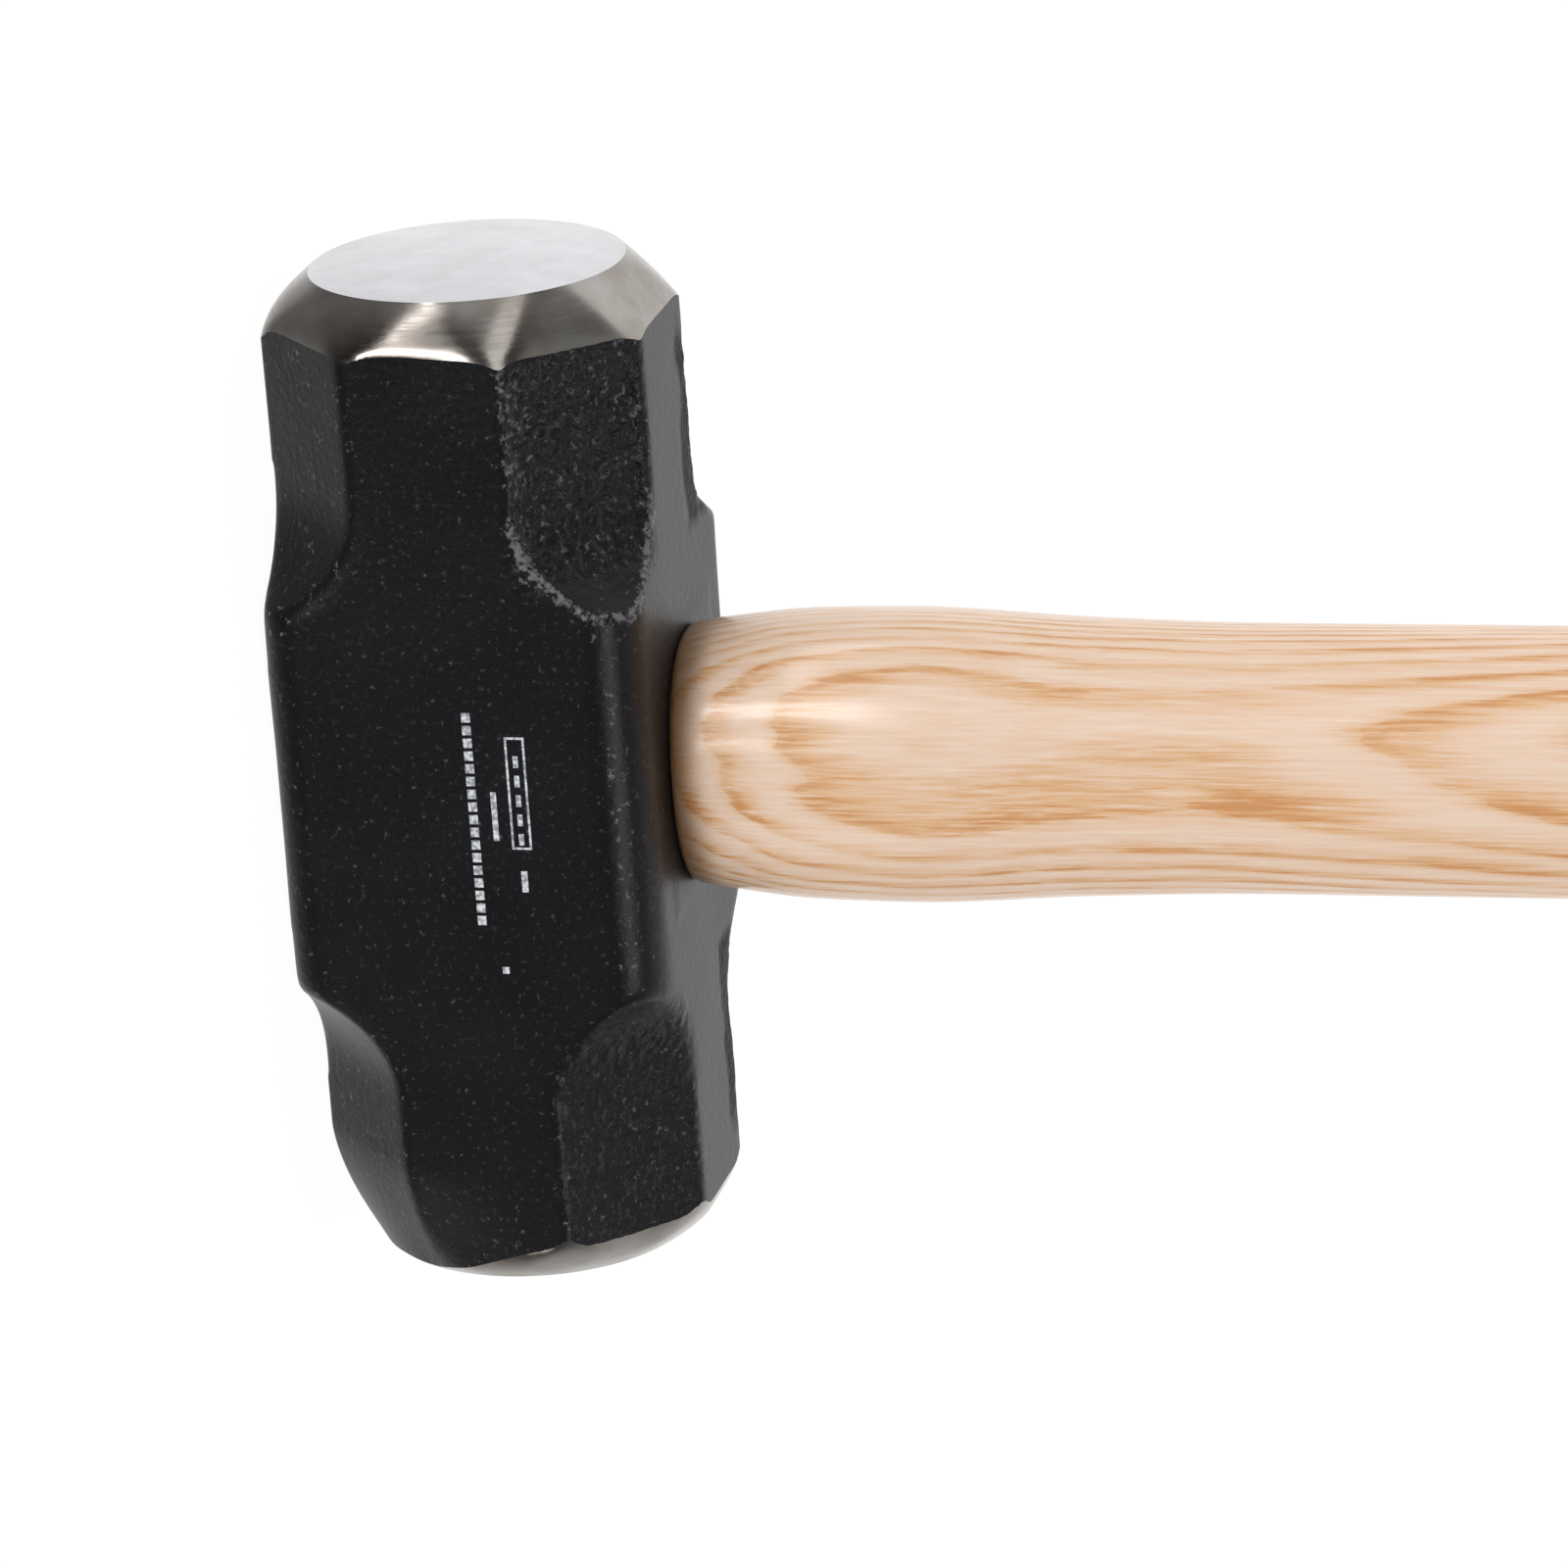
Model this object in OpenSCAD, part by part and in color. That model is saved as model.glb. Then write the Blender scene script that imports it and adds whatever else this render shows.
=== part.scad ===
// Double-faced sledgehammer: a forged head on an oval timber handle, held by one timber and two steel wedges.
// It stands on the wedge side of its head: X is along the head, Z is up the handle, and Z = 0 is the ground.

/* [Head] */
// Length over both domed striking faces
head_l = 164; // [150:1:210]
// Width across the flats, which is also the depth along the handle
head_w = 62; // [56:1:76]
// Diameter of a striking face inside its bevel
face_d = 50; // [40:1:52]
// Height of the dome on a striking face
crown_h = 1; // [0.4:0.1:2]
// Length of the bevel round a striking face, measured along the head
bevel_l = 10; // [6:0.5:13]
// How far the bevel bulges out of a straight cone
bevel_bulge = 1.2; // [0.4:0.1:1.6]
// How much further the bevel climbs in the middle of a flat than at its corners
bevel_scallop = 1.2; // [0.5:0.1:3]
// Length of the square eye block in the middle of the head, over its corners
block_l = 60; // [50:1:66]
// Radius that runs each corner flat out into the eye block
runout_r = 20; // [16:1:26]
// Radius of the eye block's long corners
block_corner_r = 8.5; // [4:0.5:11]

/* [Eye] */
// Length of the eye at its waist, along the head
eye_l = 36; // [32:1:40]
// Width of the eye at its waist
eye_w = 25; // [22:1:28]
// How much wider than its waist the eye is on the handle side
eye_front_flare = 1.4; // [0.6:0.2:2.4]
// How much wider than its waist the eye is on the wedge side
eye_back_flare = 3.4; // [1.4:0.2:4]
// Chamfer round both mouths of the eye
eye_chamfer = 1; // [0.5:0.1:1.5]
// Gap between the tongue and the wall of the eye
eye_clearance = 0.05; // [0.03:0.01:0.1]

/* [Handle] */
// Length from the ground to the end of the grip
overall_l = 900; // [600:10:1000]
// Size at the shoulder that seats on the head, along the head
shoulder_l = 41.8; // [40.8:0.2:44]
// Size at the shoulder, across the head
shoulder_w = 31.8; // [30.4:0.2:34]
// Rounding of the shoulder's edge
shoulder_edge = 1.2; // [0.5:0.1:1.2]
// Gap between the shoulder and the head
shoulder_gap = 0.1; // [0.05:0.05:0.5]
// Size at the swell just above the head, along the head
swell_l = 47.4; // [44:0.2:54]
// Size at the swell, across the head
swell_w = 36.2; // [34.4:0.2:42]
// Height of the swell above the head
swell_z = 36; // [24:1:44]
// Size of the neck above the swell, along the head
neck_l = 42.8; // [38:0.2:44]
// Size of the neck, across the head
neck_w = 32.4; // [30:0.2:34.2]
// Height of the neck above the head
neck_z = 145; // [110:5:180]
// Size at the slimmest place, along the head
waist_l = 36.4; // [32:0.2:42]
// Size at the slimmest place, across the head
waist_w = 28.6; // [26:0.2:34]
// Distance of the slimmest place from the end of the grip
waist_from_end = 280; // [200:10:320]
// Size of the knob at the end of the grip, along the head
knob_l = 45; // [38:0.2:50]
// Size of the knob, across the head
knob_w = 35; // [30:0.2:40]
// Distance of the knob's largest section from the end of the grip
knob_from_end = 18; // [12:1:30]
// Shape of the section: 2 is an ellipse, and more is squarer
oval_power = 2.2; // [2:0.1:3]

/* [Wedges] */
// How far the ends of the tongue and wedges sit inside the eye
end_inset = 0.5; // [0.3:0.1:3]
// Depth of the timber wedge in the tongue
timber_depth = 42; // [34:1:48]
// Thickness of the timber wedge at its head
timber_thick = 6.5; // [4:0.5:8]
// Thickness of the timber wedge at its tip
timber_tip = 1.5; // [1:0.1:2.5]
// Depth of each steel wedge
steel_depth = 26; // [20:1:30]
// Width of each steel wedge, as a share of the eye's width
steel_w_share = 0.68; // [0.55:0.01:0.74]
// Thickness of each steel wedge at its head
steel_thick = 3.6; // [2.6:0.2:4.4]
// Thickness of each steel wedge at its tip
steel_tip = 0.8; // [0.5:0.1:1.2]
// Height of each barb on the steel wedges
steel_barb = 0.35; // [0.2:0.05:0.5]
// Distance between the middles of the steel wedges, as a share of the eye's length
steel_spacing_share = 0.47; // [0.42:0.01:0.5]
// Angle between a steel wedge and the timber wedge
steel_angle = 70; // [60:1:90]
// Gap round every wedge
wedge_clearance = 0.03; // [0.02:0.01:0.06]

/* [Hidden] */

steel_black = [0.07, 0.07, 0.08];
timber = [0.86, 0.68, 0.47];
pale_timber = [0.90, 0.78, 0.60];
bare_steel = [0.62, 0.62, 0.63];

flat_angle = 45;                    // between neighbouring flats of the octagon
half_flat = flat_angle / 2;
half_w = head_w / 2;
corner_radius = half_w / cos(half_flat);
face_x = head_l / 2 - crown_h;      // where the dome meets the bevel
bevel_x = face_x - bevel_l;         // where the bevel meets the octagon's corners
corner_rise = half_w * (sqrt(2) - 1); // height of a square corner above the 45 degree flat
runout_run = sqrt(pow(runout_r, 2) - pow(runout_r - corner_rise, 2));
spare = 20;                         // how far a cutting solid passes the metal

end_r = eye_w / 2;                  // radius of the eye's round ends at its waist
end_shift = (eye_l - eye_w) / 2;    // distance of those round ends from the middle
eye_waist_z = half_w + 4;
steel_w = steel_w_share * eye_w;
steel_spacing = steel_spacing_share * eye_l;
tongue_root = 4;                    // how far the tongue runs up inside the handle

bevel_steps = 8;
crown_steps = 4;
section_points = 36;
barbs = 4;
round_fn = 96;

// ---------------------------------------------------------------- head

// Points of an arc from a to b that bulges by sag to the left of the way from a to b, without its first point
function arc_points(a, b, sag, steps) =
    let (
        chord = norm(b - a),
        radius = (pow(chord / 2, 2) + sag * sag) / (2 * sag),
        along = (b - a) / chord,
        left = [-along[1], along[0]],
        centre = (a + b) / 2 + left * (sag - radius),
        half = asin(chord / 2 / radius)
    )
    [for (i = [1 : steps])
        let (turn = -half + 2 * half * i / steps)
        centre + radius * (along * sin(turn) + left * cos(turn))];

// Half of the head's turned outline, as radius against distance from the middle. Past the bevel it is wide open
function half_outline() =
    let (
        start = [corner_radius, bevel_x],
        edge = [face_d / 2, face_x],
        tip = [0, head_l / 2],
        // The dome's arc runs on past the tip by symmetry, so its sag to the tip is a quarter of its height
        bevel = arc_points(edge, start, bevel_bulge, bevel_steps),
        dome = arc_points(tip, edge, crown_h / 4, crown_steps)
    )
    concat([tip], dome, bevel, [[head_w, bevel_x]]);

// The same for the eight flats ground on the bevel, as distance from the middle line to a flat
function half_flats() =
    let (
        start = [half_w, bevel_x + bevel_scallop],
        edge = [face_d / 2, face_x]
    )
    concat(
        [[face_d / 2, head_l], edge],
        arc_points(edge, start, bevel_bulge, bevel_steps),
        [[head_w, bevel_x + bevel_scallop]]
    );

function mirrored(points) = [for (i = [len(points) - 1 : -1 : 0]) [points[i][0], -points[i][1]]];

module turned_envelope() {
    half = half_outline();
    rotate([0, 90, 0])
        rotate_extrude($fn = round_fn)
            polygon(concat(half, mirrored(half)));
}

module flats_envelope() {
    half = half_flats();
    right = concat(half, mirrored(half));
    left = [for (i = [len(right) - 1 : -1 : 0]) [-right[i][0], right[i][1]]];
    intersection_for(i = [0 : 3])
        rotate([i * flat_angle, 0, 90])
            linear_extrude(4 * head_w, center = true)
                polygon(concat(right, left));
}

// Square bar with rounded long corners
module eye_block_bar() {
    inner = head_w - 2 * block_corner_r;
    rotate([90, 0, 90])
        linear_extrude(head_l + 2, center = true)
            translate([0, half_w])
                union() {
                    square([head_w, inner], center = true);
                    square([inner, head_w], center = true);
                    for (y = [-1, 1], z = [-1, 1])
                        translate([y * inner / 2, z * inner / 2])
                            circle(block_corner_r, $fn = round_fn);
                }
}

// One flat cut at 45 degrees across a corner, with the round runout that ends it at the eye block
module corner_cut() {
    start = block_l / 2 + runout_run;
    translate([start, -head_w, half_w])
        cube([head_l, 2 * head_w, head_w]);
    translate([start, 0, half_w + runout_r])
        rotate([90, 0, 0])
            cylinder(h = 2 * head_w, r = runout_r, center = true, $fn = round_fn);
}

module corner_cuts() {
    translate([0, 0, half_w])
        for (end = [0, 1], corner = [0 : 3])
            mirror([end, 0, 0])
                rotate([flat_angle + 90 * corner, 0, 0])
                    corner_cut();
}

// Half of the eye's hourglass outline: half width against height, grown by extra on its wall
function eye_wall(extra, bottom, top) =
    let (
        waist = end_r + extra,
        back = end_r + eye_back_flare / 2 + extra,
        front = end_r + eye_front_flare / 2 + extra
    )
    [[waist, eye_waist_z], [front, top], [back, bottom]];

// Oval solid with the eye's hourglass wall: two turned ends and a straight middle
module eye_solid(extra, low, high) {
    wall = eye_wall(extra, 0, head_w);
    slope_low = (wall[2][0] - wall[0][0]) / eye_waist_z;
    slope_high = (wall[1][0] - wall[0][0]) / (head_w - eye_waist_z);
    at_low = wall[0][0] + slope_low * (eye_waist_z - low);
    at_high = wall[0][0] + slope_high * (high - eye_waist_z);
    half = [[at_low, low], [wall[0][0], eye_waist_z], [at_high, high]];
    for (x = [-end_shift, end_shift])
        translate([x, 0, 0])
            rotate_extrude($fn = round_fn)
                polygon(concat([[0, high], [0, low]], half));
    rotate([90, 0, 90])
        linear_extrude(2 * end_shift, center = true)
            polygon(concat(half, [for (i = [2 : -1 : 0]) [-half[i][0], half[i][1]]]));
}

// Chamfer round one mouth of the eye. It widens downwards from wall_r
module eye_mouth(wall_r) {
    outline = [[wall_r, eye_chamfer], [wall_r + eye_chamfer, 0], [wall_r + eye_chamfer, -1]];
    for (x = [-end_shift, end_shift])
        translate([x, 0, 0])
            rotate_extrude($fn = round_fn)
                polygon(concat([[0, -1], [0, eye_chamfer]], outline));
    rotate([90, 0, 90])
        linear_extrude(2 * end_shift, center = true)
            polygon(concat(outline, [for (i = [2 : -1 : 0]) [-outline[i][0], outline[i][1]]]));
}

module head() {
    color(steel_black)
        difference() {
            intersection() {
                eye_block_bar();
                translate([0, 0, half_w])
                    turned_envelope();
                translate([0, 0, half_w])
                    flats_envelope();
            }
            corner_cuts();
            eye_solid(0, -1, head_w + 1);
            eye_mouth(end_r + eye_back_flare / 2);
            translate([0, 0, head_w])
                mirror([0, 0, 1])
                    eye_mouth(end_r + eye_front_flare / 2);
        }
}

// ---------------------------------------------------------------- handle

function at(height, size) = [height, size[0], size[1]];

// Height, length and width of the sections that shape the handle, from the shoulder to the end of the grip.
// Those between the shoulder, the swell and the neck lie at a share of the way and have a share of the change
function stations() =
    let (
        base = head_w + shoulder_gap,
        waist_z = overall_l - waist_from_end,
        knob_z = overall_l - knob_from_end,
        edge = shoulder_edge,
        shoulder = [shoulder_l, shoulder_w],
        rise = [swell_l, swell_w] - shoulder,
        neck = [neck_l, neck_w],
        drop = [swell_l, swell_w] - neck,
        fall = neck_z - swell_z
    )
    [
        at(base, shoulder - [edge, edge]),
        at(base + 0.3 * edge, shoulder - 0.3 * [edge, edge]),
        at(base + edge, shoulder + 0.06 * rise),
        at(base + 0.25 * swell_z, shoulder + 0.48 * rise),
        at(base + 0.55 * swell_z, shoulder + 0.88 * rise),
        at(base + swell_z, shoulder + rise),
        at(base + swell_z + 0.27 * fall, neck + 0.35 * drop),
        at(base + swell_z + 0.52 * fall, neck + 0.03 * drop),
        at(base + neck_z, neck),
        [waist_z, waist_l, waist_w],
        [(waist_z + knob_z) / 2, (3 * waist_l + knob_l) / 4, (3 * waist_w + knob_w) / 4],
        [knob_z, knob_l, knob_w],
    ];

// Slope of station i's sizes, by the finite difference that keeps the curve smooth and free of overshoot
function slope_at(s, i) =
    i == 0 || i == len(s) - 1 ? [0, 0]
    : let (
        before = [s[i][1] - s[i - 1][1], s[i][2] - s[i - 1][2]] / (s[i][0] - s[i - 1][0]),
        after = [s[i + 1][1] - s[i][1], s[i + 1][2] - s[i][2]] / (s[i + 1][0] - s[i][0])
    )
    [for (k = [0, 1])
        before[k] * after[k] <= 0 ? 0 : 2 * before[k] * after[k] / (before[k] + after[k])];

// Section at share t between stations i and i + 1
function between(s, i, t) =
    let (
        run = s[i + 1][0] - s[i][0],
        a = slope_at(s, i),
        b = slope_at(s, i + 1),
        h00 = 2 * t * t * t - 3 * t * t + 1,
        h10 = t * t * t - 2 * t * t + t,
        h01 = 1 - h00,
        h11 = t * t * t - t * t
    )
    [
        s[i][0] + t * run,
        h00 * s[i][1] + h10 * run * a[0] + h01 * s[i + 1][1] + h11 * run * b[0],
        h00 * s[i][2] + h10 * run * a[1] + h01 * s[i + 1][2] + h11 * run * b[1],
    ];

// Rings between neighbouring stations, then the rounded end of the grip
function sections() =
    let (
        s = stations(),
        steps = [1, 1, 2, 3, 4, 4, 3, 3, 6, 4, 5], // one number for each gap between stations
        cap_steps = 7,
        cap_end = 4                 // the last ring is this small, and is closed flat
    )
    concat(
        [for (i = [0 : len(s) - 2], k = [0 : steps[i] - 1]) between(s, i, k / steps[i])],
        [for (k = [0 : cap_steps])
            let (
                turn = 90 * k / cap_steps,
                shrink = pow(cos(turn), 0.7)
            )
            [
                overall_l - knob_from_end + knob_from_end * sin(turn),
                max(cap_end, knob_l * shrink),
                max(cap_end * knob_w / knob_l, knob_w * shrink),
            ]]
    );

// Point j of an oval ring
function oval_point(section, j) =
    let (
        turn = 360 * j / section_points,
        c = cos(turn),
        s = sin(turn),
        power = 2 / oval_power
    )
    [
        section[1] / 2 * sign(c) * pow(abs(c), power),
        section[2] / 2 * sign(s) * pow(abs(s), power),
        section[0],
    ];

module handle_shaft() {
    rings = sections();
    n = section_points;
    last = len(rings) - 1;
    points = [for (ring = rings, j = [0 : n - 1]) oval_point(ring, j)];
    sides = [for (i = [0 : last - 1], j = [0 : n - 1])
        let (k = (j + 1) % n)
        [i * n + j, (i + 1) * n + j, (i + 1) * n + k, i * n + k]];
    bottom = [for (j = [0 : n - 1]) j];
    top = [for (j = [n - 1 : -1 : 0]) last * n + j];
    polyhedron(points, concat(sides, [bottom, top]), convexity = 4);
}

module handle() {
    color(timber)
        difference() {
            union() {
                handle_shaft();
                eye_solid(-eye_clearance, end_inset, head_w + tongue_root);
            }
            timber_wedge_solid(wedge_clearance, spare);
            for (side = [-1, 1])
                steel_wedge_solid(side, wedge_clearance, spare);
        }
}

// ---------------------------------------------------------------- wedges

// Tapered bar along the head, grown by extra all round and run out downwards by below
module timber_wedge_solid(extra, below) {
    head_half = timber_thick / 2 + extra;
    tip_half = timber_tip / 2 + extra;
    tip_z = end_inset + timber_depth + extra;
    rotate([90, 0, 90])
        linear_extrude(2 * head_w, center = true)
            polygon([
                [-head_half, end_inset - below],
                [head_half, end_inset - below],
                [head_half, end_inset],
                [tip_half, tip_z],
                [-tip_half, tip_z],
                [-head_half, end_inset],
            ]);
}

// One side of a steel wedge's saw-toothed profile, from its head to its tip
function barbed_side(extra) =
    [for (i = [0 : barbs - 1], edge = [0, 1])
        let (
            share = (i + edge) / barbs,
            half = steel_thick / 2 + share * (steel_tip - steel_thick) / 2
        )
        [half + extra + (edge == 0 ? 0 : steel_barb * (i < barbs - 1 ? 1 : 0)),
         end_inset + share * (steel_depth + extra)]];

// Steel wedge on one side of the middle, set across the timber wedge
module steel_wedge_solid(side, extra, below) {
    right = barbed_side(extra);
    left = [for (i = [len(right) - 1 : -1 : 0]) [-right[i][0], right[i][1]]];
    translate([side * steel_spacing / 2, 0, 0])
        rotate([90, 0, side * (90 - steel_angle)])
            linear_extrude(steel_w + 2 * extra, center = true)
                polygon(concat(
                    [[-right[0][0], end_inset - below], [right[0][0], end_inset - below]],
                    right, left
                ));
}

module timber_wedge() {
    color(pale_timber)
        difference() {
            intersection() {
                timber_wedge_solid(0, 0);
                eye_solid(-eye_clearance, end_inset, head_w);
            }
            for (side = [-1, 1])
                steel_wedge_solid(side, wedge_clearance, spare);
        }
}

module steel_wedge_left() {
    color(bare_steel) steel_wedge_solid(-1, 0, 0);
}

module steel_wedge_right() {
    color(bare_steel) steel_wedge_solid(1, 0, 0);
}

head();
handle();
timber_wedge();
steel_wedge_left();
steel_wedge_right();
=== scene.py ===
import math

import bmesh
import bpy
from mathutils import Matrix, Vector, noise


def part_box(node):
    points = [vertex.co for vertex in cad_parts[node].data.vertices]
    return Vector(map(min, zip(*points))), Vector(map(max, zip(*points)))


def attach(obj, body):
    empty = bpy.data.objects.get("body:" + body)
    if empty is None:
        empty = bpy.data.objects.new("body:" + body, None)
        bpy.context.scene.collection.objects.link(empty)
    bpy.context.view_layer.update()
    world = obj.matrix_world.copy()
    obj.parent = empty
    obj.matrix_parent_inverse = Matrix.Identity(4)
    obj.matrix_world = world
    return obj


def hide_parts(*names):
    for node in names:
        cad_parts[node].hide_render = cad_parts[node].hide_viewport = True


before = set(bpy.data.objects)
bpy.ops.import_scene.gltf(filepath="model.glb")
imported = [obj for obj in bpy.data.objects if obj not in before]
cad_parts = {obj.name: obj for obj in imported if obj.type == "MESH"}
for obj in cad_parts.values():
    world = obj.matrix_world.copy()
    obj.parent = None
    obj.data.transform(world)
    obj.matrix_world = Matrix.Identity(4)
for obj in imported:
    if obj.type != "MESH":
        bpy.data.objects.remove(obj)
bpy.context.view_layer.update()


# ---------------------------------------------------------------- Head
# The head is one drop forging in medium-carbon steel: octagonal ends and a squarer block round the eye.
# Its flats keep the coarse scale of the dies under satin black lacquer. The two striking faces and the
# bevels round them are ground after painting, so they are bare.

MM = 0.001
head_low, head_high = (Vector(corner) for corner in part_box("head"))
head_middle = (head_low + head_high) / 2
# Sizes in mm, from the middle of the head
half_width = head_high.y / MM
corner_radius = half_width / math.cos(math.radians(22.5))
crown_height = 1
bevel_length = 10
face_x = head_high.x / MM - crown_height        # rim of a striking face
bevel_x = face_x - bevel_length                 # where the bevel meets the octagon's corners
face_radius = 25
bevel_bulge = 1.6
bevel_scallop = 1.2                             # how much further the bevel climbs in the middle of a flat
bevel_blend = 0.2                               # softness of the line between the bevel's cone and its flats
block_half_length = 30


def smoothstep(low, high, value):
    share = min(max((value - low) / (high - low), 0), 1)
    return share * share * (3 - 2 * share)


def rough(point, grain):
    """Noise from -1 to 1 with features of about grain, in the point's own units."""
    return noise.noise(Vector(point) / grain)


def merged_copy(node_name):
    """A CAD node's mesh as a new bmesh with its shared points merged."""
    shape = bmesh.new()
    shape.from_mesh(bpy.data.objects[node_name].data)
    bmesh.ops.remove_doubles(shape, verts=shape.verts, dist=1e-6)
    return shape


def saw_and_run_on(shape, point, outward, reach):
    """Saws a closed shape off flat at a point, and runs the sawn section on outwards by a reach."""
    whole = shape.verts[:] + shape.edges[:] + shape.faces[:]
    cut = bmesh.ops.bisect_plane(shape, geom=whole, plane_co=point, plane_no=outward, clear_outer=True)
    rim = [e for e in cut["geom_cut"] if isinstance(e, bmesh.types.BMEdge)]
    cap = bmesh.ops.contextual_create(shape, geom=rim)["faces"]
    grown = bmesh.ops.extrude_face_region(shape, geom=cap)["geom"]
    bmesh.ops.translate(shape, verts=[v for v in grown if isinstance(v, bmesh.types.BMVert)],
                        vec=Vector(outward) * reach)
    bmesh.ops.delete(shape, geom=cap, context="FACES_ONLY")
    bmesh.ops.recalc_face_normals(shape, faces=shape.faces)


def new_piece(name, shape):
    """A new object in the scene from a finished bmesh, which is freed."""
    mesh = bpy.data.meshes.new(name)
    shape.to_mesh(mesh)
    shape.free()
    piece = bpy.data.objects.new(name, mesh)
    bpy.context.scene.collection.objects.link(piece)
    return piece


def settle(piece):
    """Puts a piece's modifiers into its mesh."""
    piece.data = bpy.data.meshes.new_from_object(piece.evaluated_get(bpy.context.evaluated_depsgraph_get()))
    piece.modifiers.clear()


def crease(piece, degrees, fine_degrees):
    """Smooth shading, with sharp edges where faces meet at more than an angle or where two materials meet.
    The second angle is for faces of the second material."""
    shape = bmesh.new()
    shape.from_mesh(piece.data)
    for face in shape.faces:
        face.smooth = True
    for e in shape.edges:
        kinds = {face.material_index for face in e.link_faces}
        limit = fine_degrees if kinds == {1} else degrees
        e.smooth = e.is_manifold and len(kinds) == 1 and e.calc_face_angle() < math.radians(limit)
    shape.to_mesh(piece.data)
    shape.free()


def scoop_place(x, y, z):
    """Distance across a corner flat from its middle, and how far along it lies from where its scoop ends."""
    return (abs(z) - abs(y)) / math.sqrt(2), abs(x) - block_half_length


def die_scale(x, y, z):
    """Share of coarse scale left by the dies: deep in the scoops on the handle side, faint elsewhere."""
    across, along = scoop_place(x, y, z)
    outward = (z + abs(y)) / math.sqrt(2)
    wander = 1.3 * rough((x, y, z), 7)
    scoop = smoothstep(half_width + 7, half_width + 2, outward) * smoothstep(14.5, 11, abs(across) + wander)
    scoop *= smoothstep(4, 9, along + wander)
    scoop *= 0 if z < 0 else 1 if x < 0 else 0.55
    return min(1, scoop)


def ground_radius(x, turn):
    """Radius of the ground surface at a place along the head and at an angle round it: the lower one of a
    cone and eight flats. The left end's bevel is ground flatter towards the handle than elsewhere."""
    off_flat = (math.degrees(turn) + 22.5) % 45 - 22.5
    flatter = 0.75 * smoothstep(-0.2, 0.8, math.sin(turn)) if x < 0 else 0
    radii = []
    for start, foot, share_of_flat in (
        (bevel_x, corner_radius, 1),
        (bevel_x + bevel_scallop, half_width, math.cos(math.radians(off_flat))),
    ):
        share = (abs(x) - start) / (face_x - start)
        bulge = bevel_bulge * (1 - flatter) * 4 * share * (1 - share) if 0 < share < 1 else 0
        radii.append((foot + (face_radius - foot) * share + bulge) / share_of_flat)
    apart = abs(radii[0] - radii[1])
    return min(radii) - bevel_blend * math.log(1 + math.exp(-apart / bevel_blend))


def rim_wear_and_glints(x, y, z, stands_out):
    """Share of grey specks on rough rims, partly rubbed wear and partly painted glints: on the block's edge
    over the eye, and at the left end along the handle-side scoop and round its end. The last input is how
    far a place stands out from those round it."""
    across, along = scoop_place(x, y, z)
    wander = rough((x, y, z), 5)
    over_eye = 0
    if abs(x) < 27 and z > 10:
        over_eye = smoothstep(2.6, 0.8, abs(across + 2) + 0.4 * abs(wander))
    if x >= 0 or z <= 4:
        return 0.4 * over_eye
    beside = smoothstep(-13.8, -12.3, across + 0.7 * wander) * smoothstep(-8, -11, across + 0.7 * wander)
    beside *= smoothstep(5, 8, along)
    round_end = smoothstep(0.006, 0.02, stands_out) * smoothstep(19, 16, along) * smoothstep(-3, -1, along)
    return max(0.5 * beside, round_end, 0.4 * over_eye)


def dark_pocket(x, y, z):
    """Share of the dark, rough pockets that the dies left on the far half of the handle side."""
    _, along = scoop_place(x, y, z)
    wander = rough((x, y, z), 5)
    pocket = smoothstep(half_width - 3, half_width - 1, z) * smoothstep(5.5, 8, y + 2 * rough((x, y, z), 6))
    pocket *= smoothstep(3, 6, along + wander)
    return pocket * smoothstep(bevel_x - 1, bevel_x - 6, abs(x) + 3 * wander)


def forged_depth(x, y, z, scaled, pocket):
    """How far the forging lies inside the plain solid, in mm: uneven flats, rough scale that is recessed at
    the left end, and slight hollows in the pockets."""
    across, _ = scoop_place(x, y, z)
    clear_of_bevel = smoothstep(bevel_x + 2, bevel_x - 7, abs(x))
    uneven = 0.06 + 0.12 * (1 + rough((x, y, z), 16))
    recess = 0.7 * scaled * smoothstep(12.8, 9.5, abs(across)) * clear_of_bevel if x < 0 else 0
    lumps = 0.3 * rough((x, y, z), 2.0) + 0.3 * rough((x, y, z), 1.3)
    lumps *= scaled * (0.25 + 0.75 * clear_of_bevel)
    return uneven + recess + lumps + pocket * (0.1 + 0.1 * rough((x, y, z), 2.5))


def relax(shape, verts, passes):
    """Smooths a mesh a number of times round the given vertices."""
    for _ in range(passes):
        bmesh.ops.smooth_vert(shape, verts=verts, factor=0.5, use_axis_x=True, use_axis_y=True,
                              use_axis_z=True)


# The forging before its ends are ground: the octagon is sawn where it is plain and run on past both of them
blank = merged_copy("head")
for end in (-1, 1):
    saw_and_run_on(blank, (end * (bevel_x - 0.5) * MM, 0, 0), (end, 0, 0), 13 * MM)
head = new_piece("forged_head", blank)
remesh = head.modifiers.new("even_grid", "REMESH")
remesh.mode = "VOXEL"
remesh.voxel_size = 0.75 * MM
settle(head)

forging = bmesh.new()
forging.from_mesh(head.data)
# All edges are eased a little, and those away from the eye a little more
relax(forging, forging.verts, 1)
away = [v for v in forging.verts if max(abs(v.co.x) - 20 * MM, abs(v.co.y) - 15 * MM) > 4 * MM]
relax(forging, away, 2)
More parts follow.
